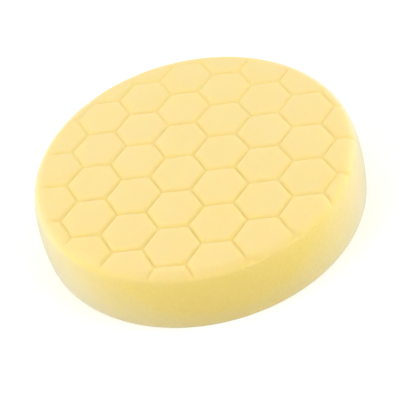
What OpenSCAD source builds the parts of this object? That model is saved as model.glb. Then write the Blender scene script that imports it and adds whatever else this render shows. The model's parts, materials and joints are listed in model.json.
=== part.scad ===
// Foam polishing pad with hexagonal grooves and a hook-and-loop back.
// Millimetres. The origin is at the centre of the foot, +Z runs up out of the work face,
// and the grooves' hexagons have corners on their +X and -X sides.

/* [Backing plate] */
// Diameter of the machine's backing plate, which the loop disc copies
plate_d = 150; // [100:1:200]
// Gap between the plate's edge and the recess wall, all round
plate_clearance = 1; // [0.5:0.1:3]
// Depth of the recess that centres the plate, from the foot up to the loops
guide_depth = 3; // [2:0.5:6]

/* [Foam body] */
// How far the foam's widest ring reaches past the plate's edge
overhang = 7.5; // [5:0.5:25]
// Height from the foot to the work face
pad_h = 32; // [22:1:60]
// Height of the widest ring above the foot
belly_h = 8.5; // [4:0.5:14]
// Radius of the wall's bulge, seen in section
wall_r = 76; // [60:1:200]
// Radius of the shoulder between the wall and the work face
shoulder_r = 6; // [3:0.5:9]

/* [Work face] */
// Distance between the centres of neighbouring hexagons
cell_pitch = 24.1; // [14:0.1:40]
// Width of a groove
groove_w = 1.6; // [0.8:0.1:3]
// Depth of a groove below the work face
groove_depth = 1.5; // [0.5:0.1:4]
// How far along X the grooves' central junction sits from the pad's axis
pattern_dx = 1.1; // [-8:0.1:8]
// How far along Y the grooves' central junction sits from the pad's axis
pattern_dy = 0.8; // [-8:0.1:8]

/* [Loop laminate] */
// Thickness of the hot-melt film
film_t = 0.4; // [0.2:0.1:1]
// Thickness of the knitted ground of the loop fabric
ground_t = 0.8; // [0.4:0.1:2]
// Height of the raised loops
pile_h = 1.2; // [0.6:0.1:3]
// Gap between the loop disc's edge and the pocket it is pressed into
pocket_gap = 0.2; // [0.1:0.1:0.8]

/* [Hidden] */
$fn = 96;
// Overshoot of a cutting tool past the surface it cuts
cut = 1;
// How far the shoulder's arc is set proud of the wall's, so that the two arcs cross cleanly
crossing = 0.05;
// Turn of the revolved foam, which keeps its seam off the corners of the grooves
seam_turn = 10;

pad_r = plate_d / 2 + overhang;
guide_r = plate_d / 2 + plate_clearance;
loop_r = plate_d / 2;
pocket_r = loop_r + pocket_gap;

// Heights of the laminate's faces, from the loop tips up to the foam
ground_z = guide_depth + pile_h;
film_z = ground_z + ground_t;
pocket_top = film_z + film_t;

// Centres of the wall's and the shoulder's arcs, and the height where the two arcs meet
wall_x = pad_r - wall_r;
shoulder_z = pad_h - shoulder_r;
shoulder_x = wall_x + crossing + sqrt(pow(wall_r - shoulder_r, 2) - pow(shoulder_z - belly_h, 2));
meet_z = belly_h + (shoulder_z - belly_h) * wall_r / (wall_r - shoulder_r);

// Columns of hexagons stand 1.5 sides apart, and each second column is half a pitch higher
cell_side = cell_pitch / sqrt(3);
column_step = 1.5 * cell_side;
island_r = (cell_pitch - groove_w) / sqrt(3);
columns = ceil(pad_r / column_step) + 1;
rows = ceil(pad_r / cell_pitch) + 1;

// Half section of the foam: the core, the bulged wall and the rounded shoulder
module foam_section() {
    square([shoulder_x, pad_h]);
    intersection() {
        translate([wall_x, belly_h]) circle(r = wall_r);
        square([pad_r, meet_z]);
    }
    translate([shoulder_x, shoulder_z]) circle(r = shoulder_r);
}

// One island of the work face, where it touches the pad
module island(column, row) {
    rise = column % 2 == 0 ? 0 : cell_pitch / 2;
    place = [column * column_step + cell_side + pattern_dx, row * cell_pitch + rise + pattern_dy];
    if (norm(place) < pad_r + cell_side) translate(place) circle(r = island_r, $fn = 6);
}

// The net of grooves between the islands, cut straight down to one depth
module groove_net() {
    translate([0, 0, pad_h - groove_depth]) linear_extrude(groove_depth + cut) difference() {
        circle(r = pad_r + cut);
        for (column = [-columns : columns], row = [-rows : rows]) island(column, row);
    }
}

// A flat disc of the laminate, from one height to the next
module layer(radius, low, high) {
    translate([0, 0, low]) cylinder(r = radius, h = high - low);
}

module foam_body() {
    color("#fbe29a") difference() {
        rotate([0, 0, seam_turn]) rotate_extrude() foam_section();
        groove_net();
        layer(guide_r, -cut, guide_depth);
        layer(pocket_r, 0, pocket_top);
    }
}

module adhesive_film() {
    color("#e6dcb8") layer(loop_r, film_z, pocket_top);
}

module loop_ground() {
    color("#e4e2da") layer(loop_r, ground_z, film_z);
}

module loop_pile() {
    color("#efede6") layer(loop_r, guide_depth, ground_z);
}

foam_body();
adhesive_film();
loop_ground();
loop_pile();
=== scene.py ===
"""Foam polishing pad with a hexagon-grooved work face and a hook-and-loop back.

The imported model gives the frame. This script builds the foam, the loop fabric and their
finishes round it, with a plain floor, soft studio light and one camera. Lengths are in metres.
"""

import sys
import json
import logging
import math
from dataclasses import dataclass, field
from enum import Enum

import bpy
import numpy as np
from mathutils import Matrix, Vector
from mathutils.geometry import delaunay_2d_cdt


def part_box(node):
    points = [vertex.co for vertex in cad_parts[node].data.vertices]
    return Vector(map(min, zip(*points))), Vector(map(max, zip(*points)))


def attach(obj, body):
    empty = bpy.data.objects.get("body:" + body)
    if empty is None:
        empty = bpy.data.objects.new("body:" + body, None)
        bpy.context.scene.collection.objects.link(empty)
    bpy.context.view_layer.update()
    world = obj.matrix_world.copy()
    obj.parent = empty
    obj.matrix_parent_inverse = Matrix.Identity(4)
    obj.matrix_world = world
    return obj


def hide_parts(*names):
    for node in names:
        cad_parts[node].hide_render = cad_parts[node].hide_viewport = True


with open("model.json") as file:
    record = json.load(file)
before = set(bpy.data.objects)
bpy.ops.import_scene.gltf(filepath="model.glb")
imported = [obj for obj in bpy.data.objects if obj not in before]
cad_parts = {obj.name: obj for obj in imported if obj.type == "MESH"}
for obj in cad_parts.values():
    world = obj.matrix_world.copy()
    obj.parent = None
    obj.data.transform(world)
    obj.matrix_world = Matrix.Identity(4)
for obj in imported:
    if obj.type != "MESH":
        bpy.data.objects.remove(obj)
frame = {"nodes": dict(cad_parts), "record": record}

LOG = logging.getLogger("polishing_pad")
BODY = "root"
SEED = 24


def mm(value: float) -> float:
    """Turns millimetres into metres."""
    return value * 0.001


def per_metre(feature_mm: float) -> float:
    """Gives a texture's scale for features of a real size.

    Args:
        feature_mm: The size of one feature, in millimetres.

    Returns:
        How many such features stand in one metre, which is what a texture's Scale means.
    """
    return 1000.0 / feature_mm


def linear(colour: str) -> tuple[float, float, float, float]:
    """Turns an sRGB hex colour into the linear values that shaders take.

    Args:
        colour: Six hex digits with a leading hash.

    Returns:
        Linear red, green and blue, with an alpha of 1.
    """
    channels = [int(colour[i : i + 2], 16) / 255 for i in (1, 3, 5)]
    curve = [c / 12.92 if c <= 0.04045 else ((c + 0.055) / 1.055) ** 2.4 for c in channels]
    return (curve[0], curve[1], curve[2], 1.0)


def add_node(
    tree: bpy.types.NodeTree,
    kind: str,
    settings: dict[str, object] | None = None,
    links: dict[str, bpy.types.NodeSocket] | None = None,
) -> bpy.types.Node:
    """Adds one node with its settings and its incoming links.

    Args:
        tree: The node tree that gets the node.
        kind: Blender's name for the kind of node.
        settings: Input sockets by name or number, or else the node's own properties.
        links: The socket that feeds each named input.

    Returns:
        The new node.
    """
    node = tree.nodes.new(kind)
    for name, value in (settings or {}).items():
        if name in node.inputs:
            node.inputs[name].default_value = value
        elif name.isdigit():
            node.inputs[int(name)].default_value = value
        else:
            setattr(node, name, value)
    for name, source in (links or {}).items():
        tree.links.new(source, node.inputs[int(name)] if name.isdigit() else node.inputs[name])
    return node


def blank_material(name: str) -> tuple[bpy.types.Material, bpy.types.NodeTree]:
    """Makes a material with an empty node tree."""
    material = bpy.data.materials.new(name)
    material.use_nodes = True
    material.node_tree.nodes.clear()
    return material, material.node_tree


def make_mesh(
    name: str, points: np.ndarray, faces: list[np.ndarray], smooth: bool = True
) -> bpy.types.Object:
    """Makes an object from plain arrays of points and faces.

    Args:
        name: The piece's name.
        points: One row of x, y and z for each point.
        faces: Arrays of faces, one row of point numbers for each face. Each array has its own
            number of corners.
        smooth: Whether the faces are shaded smooth.

    Returns:
        The new object, linked to the scene.
    """
    loops = np.concatenate([f.ravel() for f in faces]).astype(np.int32)
    counts = np.concatenate([np.full(len(f), f.shape[1], np.int32) for f in faces])
    starts = np.concatenate([[0], np.cumsum(counts)[:-1]]).astype(np.int32)
    mesh = bpy.data.meshes.new(name)
    mesh.vertices.add(len(points))
    mesh.vertices.foreach_set("co", np.ascontiguousarray(points, np.float32).ravel())
    mesh.loops.add(len(loops))
    mesh.loops.foreach_set("vertex_index", loops)
    mesh.polygons.add(len(counts))
    mesh.polygons.foreach_set("loop_start", starts)
    mesh.polygons.foreach_set("use_smooth", np.full(len(counts), smooth))
    mesh.update(calc_edges=True)
    mesh.validate()
    piece = bpy.data.objects.new(name, mesh)
    bpy.context.scene.collection.objects.link(piece)
    return piece


def triangulate(points: np.ndarray) -> np.ndarray:
    """Joins flat points with Delaunay triangles.

    Args:
        points: One row of x and y for each point. Their outline is convex.

    Returns:
        One row of three point numbers for each triangle, wound anticlockwise.
    """
    scaled = [Vector((float(x), float(y))) for x, y in points * 1000]
    _, _, triangles, sources, _, _ = delaunay_2d_cdt(scaled, [], [], 0, 1e-5)
    origin = np.array([s[0] for s in sources], np.int64)
    joined = origin[np.array(triangles, np.int64)]
    a, b, c = (points[joined[:, i]] for i in range(3))
    area = (b[:, 0] - a[:, 0]) * (c[:, 1] - a[:, 1]) - (b[:, 1] - a[:, 1]) * (c[:, 0] - a[:, 0])
    joined[area < 0] = joined[area < 0][:, ::-1]
    return joined[np.abs(area) > 1e-14]


def thinned(points: np.ndarray, apart: float) -> np.ndarray:
    """Drops points that share a square cell with an earlier point.

    Args:
        points: One row of x and y for each point, the most wanted first.
        apart: The cell's side.

    Returns:
        The points that are kept, in the same order.
    """
    _, first = np.unique(np.round(points / apart).astype(np.int64), axis=0, return_index=True)
    return points[np.sort(first)]


def ring_angles(count: int) -> np.ndarray:
    """Gives evenly spaced angles round a full turn."""
    return np.arange(count) * (2 * math.pi / count)


def arc(
    centre: tuple[float, float], radius: float, start: float, end: float, count: int
) -> list[tuple[float, float]]:
    """Steps along an arc in a section, leaving out its first point.

    Args:
        centre: The arc's centre, as a radius from the axis and a height.
        radius: The arc's own radius.
        start: The angle where it starts, measured up from level.
        end: The angle where it ends.
        count: How many points it gives.

    Returns:
        A radius from the axis and a height for each point.
    """
    angles = np.linspace(start, end, count + 1)[1:]
    return [(centre[0] + radius * math.cos(a), centre[1] + radius * math.sin(a)) for a in angles]


def undulation(points: np.ndarray, wavelength: float, seed: int, waves: int = 14) -> np.ndarray:
    """Gives a smooth random height at each point, from about -1 to 1.

    Args:
        points: One row of coordinates for each point.
        wavelength: The usual distance between two crests.
        seed: Which random pattern it is.
        waves: How many plane waves are added up.

    Returns:
        One height for each point.
    """
    rng = np.random.default_rng(seed)
    directions = rng.normal(size=(waves, points.shape[1]))
    directions /= np.linalg.norm(directions, axis=1)[:, None]
    rates = 2 * math.pi / (wavelength * rng.uniform(0.7, 1.5, waves))
    phases = rng.uniform(0, 2 * math.pi, waves)
    return np.sin(points @ directions.T * rates + phases).sum(1) / math.sqrt(waves) * 0.7


def toward(azimuth: float, elevation: float) -> Vector:
    """Gives the unit vector from the pad toward a light or the camera.

    Args:
        azimuth: The angle round the pad's axis, from -Y toward +X.
        elevation: The angle above the floor.

    Returns:
        The unit vector.
    """
    level = math.cos(elevation)
    return Vector((math.sin(azimuth) * level, -math.cos(azimuth) * level, math.sin(elevation)))


@dataclass(frozen=True)
class PolyurethaneFoam:
    """Open-cell polyurethane foam, peeled from a block and pressed with a warm die.

    The cell walls are pale and let light through, so the foam glows. Its grooves get a deeper
    yellow painted in as shade, and its rim a milky painted sheen where it's seen at a low angle.
    """

    # The face and the wall are the same foam. The face's paler, less yellow colour is painted sheen,
    # for the white sheen that light lays on the work face.
    face: str = "#ECD592"
    wall: str = "#F3DA80"
    # A deeper yellow, used for the real mottle of grain and drift and as painted shade in the grooves.
    deep: str = "#EFD367"
    # The colour of the painted sheen, a pale layer mixed in where the foam is seen edge-on.
    painted_sheen_colour: str = "#E2E0D2"
    cell_mm: float = 0.5
    cluster_mm: float = 1.6
    drift_mm: float = 34.0
    scatter_mm: float = 2.2
    # How much painted shade the grooves get, as a share of the deep colour.
    groove_shade_share: float = 0.3
    # The largest share of the painted sheen, reached at the rim.
    painted_sheen_cover: float = 0.56

    def material(self) -> bpy.types.Material:
        """Builds the foam's material."""
        material, tree = blank_material("polyurethane_foam")
        place = add_node(tree, "ShaderNodeTexCoord").outputs["Object"]
        # Foam this fine has 50 cells to the inch, half a millimetre each.
        cells = add_node(
            tree, "ShaderNodeTexVoronoi",
            {"Scale": per_metre(self.cell_mm), "Randomness": 1.0}, {"Vector": place},
        )
        # Single cells are too fine to show, so clusters of them, 1.6 mm wide, carry the grain.
        clusters = add_node(
            tree, "ShaderNodeTexNoise",
            {"Scale": per_metre(self.cluster_mm), "Detail": 3.0, "Roughness": 0.65},
            {"Vector": place},
        )
        # Slow drifts of tint, 34 mm wide, from the way the block foamed.
        drift = add_node(
            tree, "ShaderNodeTexNoise",
            {"Scale": per_metre(self.drift_mm), "Detail": 2.0, "Roughness": 0.5},
            {"Vector": place},
        )
        # The mesh says how deep the die pressed, and how far a point lies on the cut wall.
        pressed = add_node(tree, "ShaderNodeAttribute", {"attribute_name": "pressed"})
        cut = add_node(tree, "ShaderNodeAttribute", {"attribute_name": "cut"})
        grain = add_node(
            tree, "ShaderNodeMapRange",
            {"From Min": 0.35, "From Max": 0.7, "To Min": 0.0, "To Max": 0.45},
            {"Value": clusters.outputs["Fac"]},
        )
        grain_on_cut = add_node(
            tree, "ShaderNodeMath", {"operation": "MULTIPLY"},
            {"0": grain.outputs[0], "1": cut.outputs["Fac"]},
        )
        drifted = add_node(
            tree, "ShaderNodeMapRange",
            {"From Min": 0.3, "From Max": 0.7, "To Min": 0.0, "To Max": 0.12},
            {"Value": drift.outputs["Fac"]},
        )
        # Painted shade: the grooves are tinted toward the deep colour by how deep the die pressed.
        painted_groove_shade = add_node(
            tree, "ShaderNodeMath", {"operation": "MULTIPLY", "1": self.groove_shade_share},
            {"0": pressed.outputs["Fac"]},
        )
        mottled = add_node(
            tree, "ShaderNodeMath", {"operation": "ADD"},
            {"0": grain_on_cut.outputs[0], "1": drifted.outputs[0]},
        )
        share = add_node(
            tree, "ShaderNodeMath", {"operation": "ADD", "use_clamp": True},
            {"0": mottled.outputs[0], "1": painted_groove_shade.outputs[0]},
        )
        # Face colour to wall colour by the cut share; the face's paler colour is painted sheen.
        plain = add_node(
            tree, "ShaderNodeMix",
            {"data_type": "RGBA", "6": linear(self.face), "7": linear(self.wall)},
            {"0": cut.outputs["Fac"]},
        )
        # Toward the deep colour by the real mottle and by the painted groove shade.
        tint = add_node(
            tree, "ShaderNodeMix",
            {"data_type": "RGBA", "7": linear(self.deep)},
            {"0": share.outputs[0], "6": plain.outputs[2]},
        )
        # Torn cell walls stand up on the cut wall, and the warm die laid them flat on the face.
        standing = add_node(
            tree, "ShaderNodeMapRange",
            {"From Max": 0.12, "To Min": 0.25, "To Max": 1.0}, {"Value": cut.outputs["Fac"]},
        )
        relief_share = add_node(
            tree, "ShaderNodeMapRange",
            {"To Min": 0.12, "To Max": 0.8}, {"Value": cut.outputs["Fac"]},
        )
        relief = add_node(
            tree, "ShaderNodeMath", {"operation": "MULTIPLY_ADD", "1": 0.5},
            {"0": cells.outputs["Distance"], "2": clusters.outputs["Fac"]},
        )
        bump = add_node(
            tree, "ShaderNodeBump", {"Distance": mm(0.35)},
            {"Height": relief.outputs[0], "Strength": relief_share.outputs[0]},
        )
        shader = add_node(
            tree, "ShaderNodeBsdfPrincipled",
            {
                "Roughness": 0.85,
                "Specular IOR Level": 0.35,
                "Subsurface Weight": 0.7,
                "Subsurface Radius": (1.0, 0.7, 0.3),
                "Subsurface Scale": mm(self.scatter_mm),
                "Sheen Roughness": 0.35,
            },
            {
                "Base Color": tint.outputs[2],
                "Normal": bump.outputs["Normal"],
                "Sheen Weight": standing.outputs[0],
            },
        )
        # A pale diffuse layer, painted sheen for the torn cell walls that stand up outside the
        # grooves. It is mixed in by the angle it's seen at, from about 48 degrees off square up to
        # its full cover at the rim, so it changes with the view and the exported model loses it.
        edge_on = add_node(tree, "ShaderNodeLayerWeight", {"Blend": 0.5}).outputs["Facing"]
        turned = add_node(
            tree, "ShaderNodeMapRange", {"From Min": 0.33, "From Max": 1.0}, {"Value": edge_on},
        )
        early = add_node(
            tree, "ShaderNodeMath", {"operation": "POWER", "1": 0.7}, {"0": turned.outputs[0]}
        )
        outside_grooves = add_node(
            tree, "ShaderNodeMapRange",
            {"From Max": 0.3, "To Min": self.painted_sheen_cover, "To Max": 0.0},
            {"Value": pressed.outputs["Fac"]},
        )
        painted_sheen_reach = add_node(
            tree, "ShaderNodeMath", {"operation": "MULTIPLY"},
            {"0": outside_grooves.outputs[0], "1": standing.outputs[0]},
        )
        painted_sheen_share = add_node(
            tree, "ShaderNodeMath", {"operation": "MULTIPLY"},
            {"0": early.outputs[0], "1": painted_sheen_reach.outputs[0]},
        )
        painted_sheen_layer = add_node(
            tree, "ShaderNodeBsdfDiffuse", {"Color": linear(self.painted_sheen_colour), "Roughness": 0.5},
            {"Normal": bump.outputs["Normal"]},
        )
        surface = add_node(
            tree, "ShaderNodeMixShader", {},
            {"0": painted_sheen_share.outputs[0], "1": shader.outputs[0], "2": painted_sheen_layer.outputs[0]},
        )
        add_node(tree, "ShaderNodeOutputMaterial", {}, {"Surface": surface.outputs[0]})
        return material


@dataclass(frozen=True)
class HotMeltFilm:
    """Hot-melt adhesive film, melted between foam and cloth.

    It cooled unevenly, so it looks like cloudy wax with a soft shine.
    """

    clear: str = "#E8DFBE"
    cloudy: str = "#D8CBA0"
    pool_mm: float = 3.0

    def material(self) -> bpy.types.Material:
        """Builds the film's material."""
        material, tree = blank_material("hot_melt_film")
        place = add_node(tree, "ShaderNodeTexCoord").outputs["Object"]
        # Melt pools about 3 mm wide, where the film gathered as it cooled.
        pools = add_node(
            tree, "ShaderNodeTexNoise",
            {"Scale": per_metre(self.pool_mm), "Detail": 2.0}, {"Vector": place},
        )
        tint = add_node(
            tree, "ShaderNodeMix",
            {"data_type": "RGBA", "6": linear(self.clear), "7": linear(self.cloudy)},
            {"0": pools.outputs["Fac"]},
        )
        bump = add_node(
            tree, "ShaderNodeBump", {"Distance": mm(0.1), "Strength": 0.4},
            {"Height": pools.outputs["Fac"]},
        )
        shader = add_node(
            tree, "ShaderNodeBsdfPrincipled",
            {"Roughness": 0.42, "IOR": 1.48},
            {"Base Color": tint.outputs[2], "Normal": bump.outputs["Normal"]},
        )
        add_node(tree, "ShaderNodeOutputMaterial", {}, {"Surface": shader.outputs[0]})
        return material


@dataclass(frozen=True)
class KnittedNylon:
    """Warp-knitted nylon, undyed.

    Fine ribs run one way with a small stitch along each, so the cloth looks matt and lined. The darker
    colour between the threads is painted shade.
    """

    thread: str = "#EEEBE1"
    # The gap colour, darker than the thread, is painted shade between the threads.
    gap: str = "#D3CFC1"
    wale_mm: float = 1.2
    stitch_mm: float = 0.9

    @staticmethod
    def band_scale(band_mm: float) -> float:
        """Gives a wave texture's scale for bands of a real width."""
        return per_metre(band_mm) * math.pi / 10

    def material(self) -> bpy.types.Material:
        """Builds the ground's material."""
        material, tree = blank_material("knitted_nylon")
        place = add_node(tree, "ShaderNodeTexCoord").outputs["Object"]
        # Wales, the ribs that run along the cloth, 1.2 mm apart.
        wales = add_node(
            tree, "ShaderNodeTexWave",
            {"Scale": self.band_scale(self.wale_mm), "Distortion": 0.4, "bands_direction": "X"},
            {"Vector": place},
        )
        stitches = add_node(
            tree, "ShaderNodeTexWave",
            {"Scale": self.band_scale(self.stitch_mm), "Distortion": 0.6, "bands_direction": "Y"},
            {"Vector": place},
        )
        woven = add_node(
            tree, "ShaderNodeMath", {"operation": "MULTIPLY"},
            {"0": wales.outputs["Fac"], "1": stitches.outputs["Fac"]},
        )
        # Thread colour on the ribs, and the darker gap colour as painted shade where the weave sinks.
        tint = add_node(
            tree, "ShaderNodeMix",
            {"data_type": "RGBA", "6": linear(self.gap), "7": linear(self.thread)},
            {"0": woven.outputs[0]},
        )
        bump = add_node(
            tree, "ShaderNodeBump", {"Distance": mm(0.2), "Strength": 0.7},
            {"Height": woven.outputs[0]},
        )
        shader = add_node(
            tree, "ShaderNodeBsdfPrincipled",
            {"Roughness": 0.75, "IOR": 1.53, "Sheen Weight": 0.3, "Sheen Roughness": 0.4},
            {"Base Color": tint.outputs[2], "Normal": bump.outputs["Normal"]},
        )
        add_node(tree, "ShaderNodeOutputMaterial", {}, {"Surface": shader.outputs[0]})
        return material


@dataclass(frozen=True)
class BrushedNylonLoops:
    """Brushed nylon filament, undyed.

    Each smooth filament catches its own small light, so the pile looks off-white and silky.
    """

    tip: str = "#F6F4ED"
    root: str = "#E4E0D4"
    brushed_mm: float = 9.0

    def material(self) -> bpy.types.Material:
        """Builds the pile's material."""
        material, tree = blank_material("brushed_nylon_loops")
        place = add_node(tree, "ShaderNodeTexCoord").outputs["Object"]
        # Patches about 9 mm wide, where brushing laid the loops one way or the other.
        brushed = add_node(
            tree, "ShaderNodeTexNoise",
            {"Scale": per_metre(self.brushed_mm), "Detail": 2.0}, {"Vector": place},
        )
        tint = add_node(
            tree, "ShaderNodeMix",
            {"data_type": "RGBA", "6": linear(self.tip), "7": linear(self.root)},
            {"0": brushed.outputs["Fac"]},
        )
        shader = add_node(
            tree, "ShaderNodeBsdfPrincipled",
            {"Roughness": 0.5, "IOR": 1.53, "Sheen Weight": 0.2, "Sheen Roughness": 0.35},
            {"Base Color": tint.outputs[2]},
        )
        add_node(tree, "ShaderNodeOutputMaterial", {}, {"Surface": shader.outputs[0]})
        return material


@dataclass(frozen=True)
class HexNet:
    """The net of grooves that a warm die presses between hexagonal islands.

    The die bears harder toward the front than the back, and the foam gives way near its rim,
    so the grooves are deepest in front of the middle and die out on the shoulder.
    """

    pitch: float = mm(24.1)
    half_width: float = mm(1.0)
    depth: float = mm(1.08)
    sharpness: float = 2.6
    junction: tuple[float, float] = (mm(1.1), mm(0.8))
    lean: float = -0.3
    dome: float = 0.22
    printed_centre: tuple[float, float] = (mm(2.5), mm(-3))
    printed_radius: tuple[float, float] = (mm(73.5), mm(78.5))

    @property
    def side(self) -> float:
        """The length of a hexagon's side, from groove line to groove line."""
        return self.pitch / math.sqrt(3)

    def centres(self, reach: float) -> np.ndarray:
        """Gives the centres of all hexagons that come within a radius.

        Args:
            reach: The radius from the pad's axis.

        Returns:
            One row of x and y for each hexagon.
        """
        count = int(reach / self.side) + 2
        found = []
        for column in range(-count, count + 1):
            for row in range(-count, count + 1):
                x = column * 1.5 * self.side + self.side + self.junction[0]
                y = (row + 0.5 * (column % 2)) * self.pitch + self.junction[1]
                if math.hypot(x, y) < reach + self.side:
                    found.append((x, y))
        return np.array(found)

    def pressed(self, points: np.ndarray, reach: float) -> np.ndarray:
        """Gives how deep the die presses at each point, as a share of the usual depth.

        Args:
            points: One row of x and y for each point.
            reach: The radius that the points stay within.

        Returns:
            A share from 0, on an island, to about 1, along a groove's middle.
        """
        centres = self.centres(reach)
        apart = ((points[:, None, :] - centres[None, :, :]) ** 2).sum(2)
        inside = points - centres[apart.argmin(1)]
        spared = np.ones(len(points))
        for k in range(6):
            angle = math.radians(30 + 60 * k)
            gap = self.pitch / 2 - inside @ np.array([math.cos(angle), math.sin(angle)])
            share = 1 / (1 + (np.abs(gap) / self.half_width) ** self.sharpness)
            spared *= 1 - share
        from_middle = (points**2).sum(1) / reach**2
        force = (1 + self.lean * points[:, 1] / reach) * (1 - self.dome * from_middle)
        start, end = self.printed_radius
        x, y = self.printed_centre
        away = np.hypot(points[:, 0] - x, points[:, 1] - y)
        fade = np.clip((end - away) / (end - start), 0, 1)
        return (1 - spared) * force * fade**2 * (3 - 2 * fade)

    def sample_points(self, reach: float) -> np.ndarray:
        """Gives points that are dense across the grooves and sparse on the islands.

        Args:
            reach: The radius that the points stay within.

        Returns:
            One row of x and y for each point, those in the grooves first.
        """
        insets = mm(1) * np.array([0, 0.22, 0.44, 0.66, 0.9, 1.2, 1.6, 2.2, 3.1, 4.6, 7.0])
        spacings = mm(1) * np.array([0.8, 0.8, 0.8, 0.8, 0.9, 1.0, 1.2, 1.5, 2.0, 2.6, 3.2])
        rings = []
        for inset, spacing in zip(insets, spacings):
            side = (self.pitch / 2 - inset) * 2 / math.sqrt(3)
            steps = max(2, round(side / spacing))
            corners = np.array([[math.cos(a), math.sin(a)] for a in ring_angles(6)]) * side
            along = np.arange(steps)[:, None] / steps
            ring = [a + (b - a) * along for a, b in zip(corners, np.roll(corners, -1, axis=0))]
            rings.append(np.vstack(ring))
        rings.append(np.zeros((1, 2)))
        found = [(self.centres(reach)[:, None, :] + ring[None]).reshape(-1, 2) for ring in rings]
        points = np.vstack(found)
        return points[np.hypot(points[:, 0], points[:, 1]) < reach]


@dataclass
class FoamBody:
    """The disc of foam, with its grooved work face, round shoulder, bulged wall and recess."""

    net: HexNet = field(default_factory=HexNet)
    finish: PolyurethaneFoam = field(default_factory=PolyurethaneFoam)
    belly_height: float = mm(8.5)
    wall_radius: float = mm(76)
    shoulder_radius: float = mm(6)
    foot_round: float = mm(0.6)
    lip_round: float = mm(0.5)
    pocket_gap: float = mm(0.2)
    # How far below the work face the cut wall's look starts, and over what height it grows.
    cut_starts: float = mm(0.6)
    cut_grows: float = mm(5)
    # Unevenness, as height (or share) and wavelength.
    press_wander: tuple[float, float] = (0.06, mm(11))
    face_wander: tuple[float, float] = (mm(0.05), mm(19))
    wall_swell: tuple[float, float] = (mm(0.12), mm(26))
    wall_ripple: tuple[float, float] = (mm(0.03), mm(5))
    swell_limit: float = mm(0.2)
    # The angle in degrees on the shoulder's arc where the work face's mesh ends.
    face_ends: float = 62.0
    segments: int = 360
    ring_step: float = mm(0.6)
    rim_gap: float = mm(0.35)
    closest: float = mm(0.17)

    def __post_init__(self) -> None:
        """Reads the foam's outer size and its recess from the frame."""
        low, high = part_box("foam_body")
        self.radius = (high.y - low.y) / 2
        self.height = high.z
        recess = next(m for m in frame["record"]["mounts"] if m["name"] == "plate_recess")
        self.guide_radius = mm(recess["dims"]["r_mm"])
        self.guide_depth = mm(recess["dims"]["length_mm"])
        self.pocket_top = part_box("adhesive_film")[1].z
        self.pocket_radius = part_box("loop_pile")[1].y + self.pocket_gap
        self.wall_x = self.radius - self.wall_radius
        self.shoulder_z = self.height - self.shoulder_radius
        rise = self.shoulder_z - self.belly_height
        apart = self.wall_radius - self.shoulder_radius
        self.shoulder_x = self.wall_x + math.sqrt(apart**2 - rise**2)
        self.meet_angle = math.asin(rise / apart)
        past_flat = self.shoulder_radius * math.sin(math.radians(self.face_ends))
        self.face_limit = self.shoulder_x + past_flat

    def drop(self, radius: np.ndarray) -> np.ndarray:
        """Gives how far the shoulder has fallen below the work face at a radius."""
        past = np.clip(radius - self.shoulder_x, 0, self.shoulder_radius)
        return self.shoulder_radius - np.sqrt(self.shoulder_radius**2 - past**2)

    def face_points(self) -> tuple[np.ndarray, np.ndarray]:
        """Lays out the work face.

        Returns:
            One row of x, y and z for each point, the rim's ring first, and how deep the die
            pressed there, as a share.
        """
        angles = ring_angles(self.segments)
        circle = np.column_stack([np.cos(angles), np.sin(angles)])
        rim = circle * self.face_limit
        outer, flat_starts = self.face_limit - self.ring_step, self.shoulder_x - mm(1)
        shoulder = np.vstack([circle * r for r in np.arange(outer, flat_starts, -self.ring_step)])
        inner = self.net.sample_points(self.face_limit - self.rim_gap)
        flat = np.vstack([rim, thinned(np.vstack([inner, shoulder]), self.closest)])
        share = self.net.pressed(flat, self.radius)
        uneven, wavelength = self.press_wander
        share *= 1 + uneven * undulation(flat, wavelength, SEED)
        share[: self.segments] = 0
        fallen = self.drop(np.hypot(flat[:, 0], flat[:, 1]))
        z = self.height - fallen - self.net.depth * share
        height, wavelength = self.face_wander
        z[self.segments :] += height * undulation(flat[self.segments :], wavelength, SEED + 1)
        return np.column_stack([flat, z]), share

    def section(self) -> np.ndarray:
        """Gives the half section from just past the work face down to the recess's ceiling.

        Returns:
            One row of radius and height for each ring, in order.
        """
        right = math.pi / 2
        start = right - math.radians(self.face_ends)
        foot_angle = -math.asin((self.belly_height - self.foot_round) / self.wall_radius)
        meet = self.meet_angle
        rings = arc((self.shoulder_x, self.shoulder_z), self.shoulder_radius, start, meet, count=8)
        rings += arc((self.wall_x, self.belly_height), self.wall_radius, meet, foot_angle, count=23)
        foot_x = rings[-1][0] - self.foot_round
        rings += arc((foot_x, self.foot_round), self.foot_round, 0, -right, count=5)
        lip_x = self.guide_radius + self.lip_round
        rings += [(r, 0.0) for r in np.linspace(foot_x, lip_x, 5)[1:]]
        rings += arc((lip_x, self.lip_round), self.lip_round, -right, -2 * right, count=4)
        guide_heights = np.linspace(self.lip_round, self.guide_depth, 4)[1:]
        rings += [(self.guide_radius, z) for z in guide_heights]
        rings += [(self.pocket_radius, self.guide_depth), (self.pocket_radius, self.pocket_top)]
        rings += [(self.pocket_radius * share, self.pocket_top) for share in (0.75, 0.5, 0.25)]
        return np.array(rings)

    def skin_points(self, section: np.ndarray) -> np.ndarray:
        """Turns the half section round the axis, and lets the free wall swell unevenly.

        Args:
            section: One row of radius and height for each ring.

        Returns:
            One row of x, y and z for each point, ring after ring.
        """
        angles = ring_angles(self.segments)
        radii, heights = section[:, 0][:, None], section[:, 1][:, None]
        level = heights + 0 * angles
        rings = np.stack([radii * np.cos(angles), radii * np.sin(angles), level], axis=2)
        skin = rings.reshape(-1, 3)
        radius = np.linalg.norm(skin[:, :2], axis=1)
        sideways = skin[:, :2] / radius[:, None]
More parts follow.
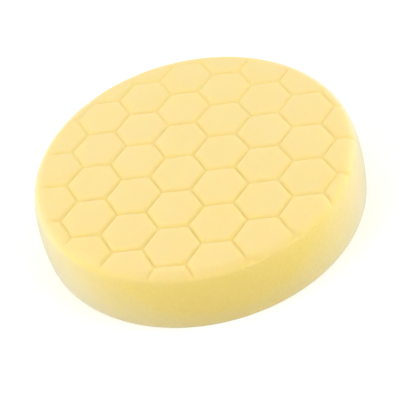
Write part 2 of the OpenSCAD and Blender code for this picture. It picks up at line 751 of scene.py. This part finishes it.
        # The wall is held at its foot and at the shoulder, and the recess keeps its true size.
        below_top, above_foot = self.height - skin[:, 2] - mm(2), skin[:, 2] - mm(1)
        free = np.clip(np.minimum(below_top, above_foot) / mm(5), 0, 1)
        free *= radius > self.guide_radius + mm(1)
        (swell_height, swell_length), (ripple_height, ripple_length) = self.wall_swell, self.wall_ripple
        swell = swell_height * undulation(skin, swell_length, SEED + 2)
        swell += ripple_height * undulation(skin, ripple_length, SEED + 3)
        skin[:, :2] += sideways * (np.minimum(swell, self.swell_limit) * free)[:, None]
        return skin

    def build(self) -> bpy.types.Object:
        """Builds the foam as one closed mesh, with its two finish attributes."""
        face, pressed = self.face_points()
        skin = self.skin_points(self.section())
        points = np.vstack([face, skin, [[0, 0, self.pocket_top]]])
        numbers = np.arange(len(skin)).reshape(-1, self.segments) + len(face)
        grid = np.vstack([np.arange(self.segments), numbers])
        upper, lower = grid[:-1], grid[1:]
        quads = np.stack(
            [upper, lower, np.roll(lower, -1, axis=1), np.roll(upper, -1, axis=1)], axis=2
        ).reshape(-1, 4)
        last = grid[-1]
        middle = np.full(self.segments, len(points) - 1)
        ceiling = np.column_stack([last, middle, np.roll(last, -1)])
        piece = make_mesh("foam_pad", points, [triangulate(face[:, :2]), ceiling, quads])
        share = np.zeros(len(points))
        share[: len(face)] = pressed
        fallen = self.height - points[:, 2]
        fallen[: len(face)] = self.drop(np.hypot(face[:, 0], face[:, 1]))
        cut = np.clip((fallen - self.cut_starts) / self.cut_grows, 0, 1)
        for name, values in (("pressed", share), ("cut", cut)):
            attribute = piece.data.attributes.new(name, "FLOAT", "POINT")
            attribute.data.foreach_set("value", values.astype(np.float32))
        return piece

    def dress(self, piece: bpy.types.Object) -> None:
        """Gives the foam its finish and its place in the frame."""
        piece.data.materials.append(self.finish.material())
        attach(piece, BODY)
        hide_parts("foam_body")


@dataclass
class LoopLaminate:
    """The disc of loop fabric on the back, with the film that bonds it to the foam."""

    film: HotMeltFilm = field(default_factory=HotMeltFilm)
    knit: KnittedNylon = field(default_factory=KnittedNylon)
    loops: BrushedNylonLoops = field(default_factory=BrushedNylonLoops)
    grid_step: float = mm(1.5)
    rib_height: float = mm(0.08)
    rib_width: float = mm(6)
    # How far the cut edge wanders inward, as a share of the radius.
    edge_wander: float = 0.0016
    wale: float = mm(1.75)
    filament_radius: float = mm(0.2)
    # How deep the loops' ends sit in the ground.
    sunk: float = mm(0.1)
    # Each loop's seat is off by this share of a wale.
    jitter: float = 0.3
    lean_mm: float = 0.45
    half_width_mm: tuple[float, float] = (0.55, 0.95)
    tallness: tuple[float, float] = (0.72, 1.0)
    arch_steps: int = 4

    def __post_init__(self) -> None:
        """Reads the fabric's place from the frame."""
        low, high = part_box("loop_pile")
        self.radius = high.y
        self.tip_z, self.root_z = low.z, high.z
        self.back_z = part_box("loop_ground")[1].z

    def build_ground(self) -> bpy.types.Object:
        """Builds the knitted ground, a thin closed disc with low ribs and a cut edge."""
        angles = ring_angles(180)
        edge = self.radius * np.column_stack([np.cos(angles), np.sin(angles)])
        steps = np.arange(-self.radius, self.radius, self.grid_step)
        inside = self.radius - mm(1.2)
        grid = np.array([(x, y) for x in steps for y in steps if math.hypot(x, y) < inside])
        flat = np.vstack([edge, grid])
        triangles = triangulate(flat)
        rib = self.rib_height * np.cos(flat[:, 0] * 2 * math.pi / self.rib_width)
        rib[: len(edge)] = 0
        wander = 1 + undulation(edge, mm(6), SEED + 4)
        flat[: len(edge)] *= 1 - self.edge_wander * wander[:, None]
        lower = np.column_stack([flat, self.root_z + self.rib_height + rib])
        upper = np.column_stack([flat, np.full(len(flat), self.back_z)])
        first = np.arange(len(edge))
        other = first + len(flat)
        wall = np.column_stack([first, np.roll(first, -1), np.roll(other, -1), other])
        faces = [triangles[:, ::-1], triangles + len(flat), wall]
        return make_mesh("loop_fabric_ground", np.vstack([lower, upper]), faces)

    def build_pile(self) -> bpy.types.Object:
        """Builds the raised loops, one small bent filament each."""
        rng = np.random.default_rng(SEED)
        step, row = self.wale, self.wale * math.sqrt(3) / 2
        count = int(self.radius / row) + 2
        places = range(-count, count)
        seats = np.array([((i + 0.5 * (j % 2)) * step, j * row) for i in places for j in places])
        seats = seats[np.hypot(seats[:, 0], seats[:, 1]) < self.radius - mm(1.0)]
        seats += rng.uniform(-self.jitter, self.jitter, seats.shape) * step
        total = len(seats)
        turn = rng.uniform(0, math.pi, total)
        across = np.column_stack([np.cos(turn), np.sin(turn)])
        lean = rng.normal(0, self.lean_mm, (total, 2)) * mm(1)
        half = rng.uniform(*self.half_width_mm, total) * mm(1)
        tallest = self.root_z - self.tip_z - self.filament_radius
        tall = tallest * rng.uniform(*self.tallness, total)
        t = np.linspace(0, math.pi, self.arch_steps + 1)
        spine = np.empty((total, len(t), 3))
        spread = np.cos(t)[None, :] * half[:, None] * (1 + 0.25 * np.sin(t))[None, :]
        spine[:, :, :2] = seats[:, None] + across[:, None] * spread[:, :, None]
        spine[:, :, :2] += lean[:, None] * (np.sin(t) ** 2)[None, :, None]
        reach = tall[:, None] + self.sunk
        spine[:, :, 2] = self.root_z + self.sunk - reach * np.sin(t)[None, :] ** 0.8
        along = np.gradient(spine, axis=1)
        along /= np.linalg.norm(along, axis=2)[:, :, None]
        side = np.cross(along, np.broadcast_to([0.0, 0.0, 1.0], along.shape))
        side += np.column_stack([-across[:, 1], across[:, 0], np.zeros(total)])[:, None] * 0.6
        side -= along * (side * along).sum(2)[:, :, None]
        side /= np.linalg.norm(side, axis=2)[:, :, None]
        other = np.cross(along, side)
        outward = [side * math.cos(a) + other * math.sin(a) for a in ring_angles(3)]
        corners = [spine + self.filament_radius * o for o in outward]
        points = np.stack(corners, axis=2).reshape(-1, 3)
        ring = np.arange(3)
        one = []
        for i in range(self.arch_steps):
            low, high = 3 * i + ring, 3 * (i + 1) + ring
            one.append(np.column_stack([low, np.roll(low, -1), np.roll(high, -1), high]))
        one = np.vstack(one)
        size = 3 * (self.arch_steps + 1)
        starts = (np.arange(total) * size)[:, None, None]
        quads = (one[None] + starts).reshape(-1, 4)
        caps = np.array([[2, 1, 0], [size - 3, size - 2, size - 1]])
        return make_mesh("loop_fabric_pile", points, [quads, (caps[None] + starts).reshape(-1, 3)])

    def dress(self, ground: bpy.types.Object, pile: bpy.types.Object) -> None:
        """Gives the three layers their finishes and their places in the frame."""
        film = frame["nodes"]["adhesive_film"]
        film.data.materials.clear()
        film.data.materials.append(self.film.material())
        ground.data.materials.append(self.knit.material())
        pile.data.materials.append(self.loops.material())
        layers = ((ground, "loop_ground", "loop_knit"), (pile, "loop_pile", "loop_pile"))
        for piece, node, slot in layers:
            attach(piece, BODY)
            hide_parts(node)


class Side(Enum):
    """Where a softbox stands, as its azimuth and elevation in degrees."""

    LEFT_FRONT = (-56.0, 22.0)
    RIGHT_FRONT = (73.0, 22.0)
    LEFT = (-110.0, 16.0)
    RIGHT = (136.0, 16.0)
    BEHIND = (195.0, 22.0)


@dataclass(frozen=True)
class Softbox:
    """One square studio light."""

    side: Side
    width: float
    power: float
    distance: float = 0.9

    def build(self, target: Vector) -> bpy.types.Object:
        """Builds the light, aimed at a point."""
        away = toward(*(math.radians(a) for a in self.side.value))
        data = bpy.data.lights.new(f"softbox_{self.side.name.lower()}", "AREA")
        data.shape = "SQUARE"
        data.size = self.width
        data.energy = self.power
        light = bpy.data.objects.new(data.name, data)
        light.location = target + away * self.distance
        light.rotation_euler = away.to_track_quat("Z", "Y").to_euler()
        bpy.context.scene.collection.objects.link(light)
        return light


@dataclass
class Studio:
    """The plain pale floor, the soft lights and the camera."""

    azimuth: float = math.radians(13.34)
    elevation: float = math.radians(42.88)
    roll: float = math.radians(15.32)
    target: tuple[float, float, float] = (mm(2.17), mm(-15.3), mm(16))
    distance: float = mm(608.5)
    lens: float = 112.6
    floor_colour: str = "#FFFFFF"
    backlight: float = 0.07
    aim_height: float = mm(20)
    fill: float = 0.435
    bounce: float = 0.36
    boxes: tuple[Softbox, ...] = (
        Softbox(Side.LEFT_FRONT, 0.7, 6.0),
        Softbox(Side.RIGHT_FRONT, 0.7, 6.3),
        Softbox(Side.LEFT, 0.7, 3.0),
        Softbox(Side.RIGHT, 0.7, 2.7),
        Softbox(Side.BEHIND, 0.7, 2.3),
    )

    def build_floor(self) -> bpy.types.Object:
        """Builds the floor, a wide seamless sheet of matt white paper."""
        reach, below = 6.0, mm(0.05)
        ends = ((-1, -1), (1, -1), (1, 1), (-1, 1))
        corners = np.array([[x * reach, y * reach, -below] for x, y in ends])
        floor = make_mesh("floor", corners, [np.array([[0, 1, 2, 3]])], smooth=False)
        # Matt paper over a light table, which gives a white ground with a soft contact shadow.
        material, tree = blank_material("white_paper")
        shader = add_node(
            tree, "ShaderNodeBsdfPrincipled",
            {
                "Base Color": linear(self.floor_colour),
                "Roughness": 0.9,
                "Specular IOR Level": 0.2,
                "Emission Color": linear(self.floor_colour),
                "Emission Strength": self.backlight,
            },
        )
        add_node(tree, "ShaderNodeOutputMaterial", {}, {"Surface": shader.outputs[0]})
        floor.data.materials.append(material)
        # The paper casts no light on the pad itself. The room's lower half stands for its bounce.
        floor.visible_diffuse = False
        floor.visible_glossy = False
        floor.visible_shadow = False
        return floor

    def build_lights(self) -> None:
        """Builds the softboxes and the even fill of a white room."""
        for box in self.boxes:
            box.build(Vector((0, 0, self.aim_height)))
        world = bpy.data.worlds.new("white_room")
        world.use_nodes = True
        tree = world.node_tree
        tree.nodes.clear()
        place = add_node(tree, "ShaderNodeTexCoord").outputs["Generated"]
        height = add_node(tree, "ShaderNodeSeparateXYZ", {}, {"Vector": place}).outputs["Z"]
        horizon = 0.02
        strength = add_node(
            tree, "ShaderNodeMapRange",
            {"From Min": -horizon, "From Max": horizon, "To Min": self.bounce, "To Max": self.fill},
            {"Value": height},
        )
        light = add_node(
            tree, "ShaderNodeBackground", {"Color": (1, 1, 1, 1)}, {"Strength": strength.outputs[0]}
        )
        add_node(tree, "ShaderNodeOutputWorld", {}, {"Surface": light.outputs[0]})
        bpy.context.scene.world = world

    def build_camera(self) -> bpy.types.Object:
        """Builds the camera, tipped over by its roll about the line of sight."""
        a, e, r = self.azimuth, self.elevation, self.roll
        back = toward(a, e)
        level = Vector((math.cos(a), math.sin(a), 0))
        upright = back.cross(level)
        right = level * math.cos(r) - upright * math.sin(r)
        up = level * math.sin(r) + upright * math.cos(r)
        data = bpy.data.cameras.new("camera")
        data.lens = self.lens
        data.clip_start, data.clip_end = 0.01, 50
        camera = bpy.data.objects.new("camera", data)
        place = Matrix.Translation(Vector(self.target) + back * self.distance)
        camera.matrix_world = place @ Matrix((right, up, back)).transposed().to_4x4()
        bpy.context.scene.collection.objects.link(camera)
        bpy.context.scene.camera = camera
        return camera

    def build(self) -> None:
        """Builds the whole studio and sets plain, untinted colours."""
        self.build_camera()
        self.build_floor()
        self.build_lights()
        bpy.context.scene.view_settings.view_transform = "Standard"


def report(piece: bpy.types.Object) -> None:
    """Logs a piece's name and how fine its mesh is."""
    mesh = piece.data
    LOG.info("%s: %d points, %d faces", piece.name, len(mesh.vertices), len(mesh.polygons))


def main() -> None:
    """Builds the studio, the foam and the loop laminate in order."""
    logging.basicConfig(level=logging.INFO, format="%(name)s %(message)s", stream=sys.stdout)
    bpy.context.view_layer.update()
    Studio().build()
    foam = FoamBody()
    pad = foam.build()
    foam.dress(pad)
    report(pad)
    laminate = LoopLaminate()
    ground = laminate.build_ground()
    pile = laminate.build_pile()
    laminate.dress(ground, pile)
    report(ground)
    report(pile)


if __name__ == "__main__":
    main()
